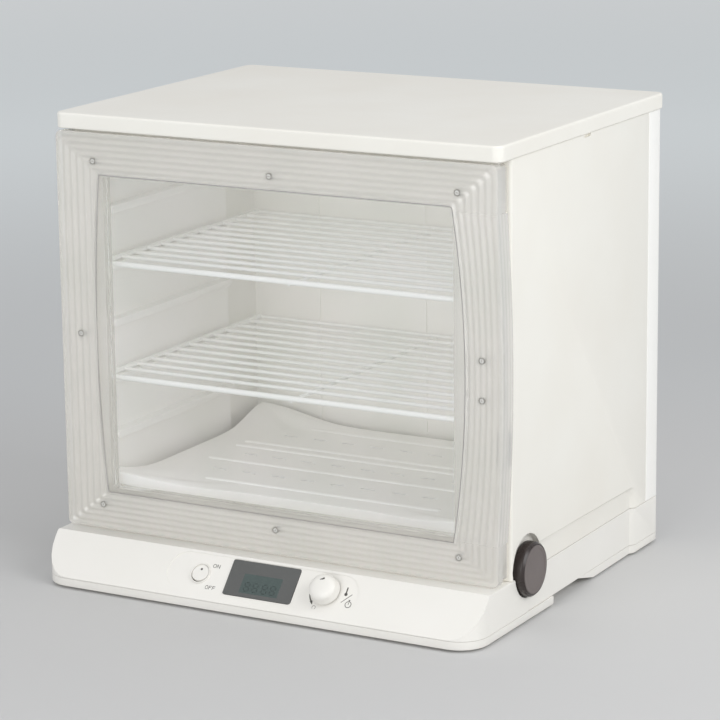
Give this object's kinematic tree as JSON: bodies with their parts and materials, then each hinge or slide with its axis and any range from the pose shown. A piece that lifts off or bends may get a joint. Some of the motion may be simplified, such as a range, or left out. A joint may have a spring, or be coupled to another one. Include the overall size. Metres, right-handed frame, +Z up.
{
  "type": "dough proofer",
  "caption": "Folding countertop dough proofer: heated base with sloping controls, lift-off lid, clear ribbed swing door, wire shelves and a slotted floor cover.",
  "frame": {"origin": "on the surface the feet stand on, under the middle of the whole object's box", "axes": "+Z up, +X to the right as seen from the front, the front with the door and the controls looks along -Y"},
  "size_m": [0.418, 0.351, 0.391],
  "materials": {
    "white_plastic": "fine moulded satin",
    "cream_plastic": "fine moulded satin",
    "clear_plastic": "clear, polished",
    "dark_plastic": "fine texture",
    "display_gloss": "glossy",
    "lcd_glass": "glossy",
    "circuit_board": "solder mask",
    "steel": "zinc plated",
    "chrome_wire": "bright plated wire",
    "aluminium": "satin",
    "magnet": "plain",
    "rubber": "matt"
  },
  "bodies": {
    "cabinet": {"base_housing": "white_plastic", "heater_well": "white_plastic", "bottom_tray": "white_plastic", "foot_front_left": "rubber", "foot_front_right": "rubber", "foot_rear_left": "rubber", "foot_rear_right": "rubber", "base_screw_1": "steel", "base_screw_2": "steel", "base_screw_3": "steel", "base_screw_4": "steel", "display_cover": "display_gloss", "lcd_module": "lcd_glass", "control_board": "circuit_board", "switch_body": "white_plastic", "encoder_body": "dark_plastic", "heater_plate": "aluminium", "heating_element": "steel", "temperature_sensor": "steel", "thermal_fuse": "cream_plastic", "terminal_block": "cream_plastic", "cord_bushing": "dark_plastic", "side_panel_right": "cream_plastic", "side_panel_left": "cream_plastic", "side_liner_right": "white_plastic", "side_liner_left": "white_plastic", "side_hinge_pin_right": "steel", "side_hinge_pin_left": "steel", "catch_magnet": "magnet", "back_panel": "white_plastic", "back_hinge_pin": "steel"},
    "door": {"door_outer": "clear_plastic", "door_inner": "clear_plastic", "door_seal": "rubber", "strike_plate": "steel", "hinge_pin_bottom": "steel", "hinge_pin_top": "steel", "door_screw_1": "steel", "door_screw_2": "steel", "door_screw_3": "steel", "door_screw_4": "steel", "door_screw_5": "steel", "door_screw_6": "steel", "door_screw_7": "steel", "door_screw_8": "steel", "door_screw_9": "steel"},
    "lid": {"lid": "cream_plastic", "lid_liner": "white_plastic"},
    "lock_right": {"lock_knob_right": "dark_plastic", "lock_shaft_right": "steel"},
    "lock_left": {"lock_knob_left": "dark_plastic", "lock_shaft_left": "steel"},
    "rocker": {"power_button": "white_plastic"},
    "dial_spindle": {"dial_shaft": "steel"},
    "dial": {"dial_knob": "white_plastic"},
    "upper_shelf": {"shelf_upper": "chrome_wire"},
    "lower_shelf": {"shelf_lower": "chrome_wire"},
    "cover": {"floor_cover": "white_plastic"},
    "dish": {"water_dish": "aluminium"}
  },
  "joints": [
    {"name": "door_hinge", "type": "hinge", "parent": "cabinet", "child": "door", "pos_m": [-0.194, -0.1203, 0.2], "axis": [0, 0, -1], "range_deg": [0, 100]},
    {"name": "lid_lift", "type": "slide", "parent": "cabinet", "child": "lid", "axis": [0, 0, 1], "range_m": [0, 0.12]},
    {"name": "lock_right_turn", "type": "hinge", "parent": "cabinet", "child": "lock_right", "pos_m": [0.2, -0.0805, 0.045], "axis": [1, 0, 0], "range_deg": [0, 90]},
    {"name": "lock_left_turn", "type": "hinge", "parent": "cabinet", "child": "lock_left", "pos_m": [-0.2, -0.0805, 0.045], "axis": [-1, 0, 0], "range_deg": [0, 90]},
    {"name": "power_rocker", "type": "hinge", "parent": "cabinet", "child": "rocker", "pos_m": [-0.0543, -0.15871, 0.02503], "axis": [1, 0, 0], "range_deg": [0, 14]},
    {"name": "dial_turn", "type": "hinge", "parent": "cabinet", "child": "dial_spindle", "pos_m": [0.0627, -0.1595, 0.02789], "axis": [0, -0.7455, 0.6665], "continuous": true},
    {"name": "dial_push", "type": "slide", "parent": "dial_spindle", "child": "dial", "axis": [0, 0.7455, -0.6665], "range_m": [0, 0.001], "stiffness_N_per_m": 800, "springref_m": -0.0005},
    {"name": "upper_shelf_play", "type": "slide", "parent": "cabinet", "child": "upper_shelf", "axis": [0, 1, 0], "range_m": [-0.004, 0.007]},
    {"name": "lower_shelf_play", "type": "slide", "parent": "cabinet", "child": "lower_shelf", "axis": [0, 1, 0], "range_m": [-0.004, 0.007]},
    {"name": "cover_lift", "type": "slide", "parent": "cabinet", "child": "cover", "axis": [0, 0, 1], "range_m": [0, 0.018]},
    {"name": "dish_lift", "type": "slide", "parent": "cabinet", "child": "dish", "axis": [0, 0, 1], "range_m": [0, 0.01]}
  ]
}
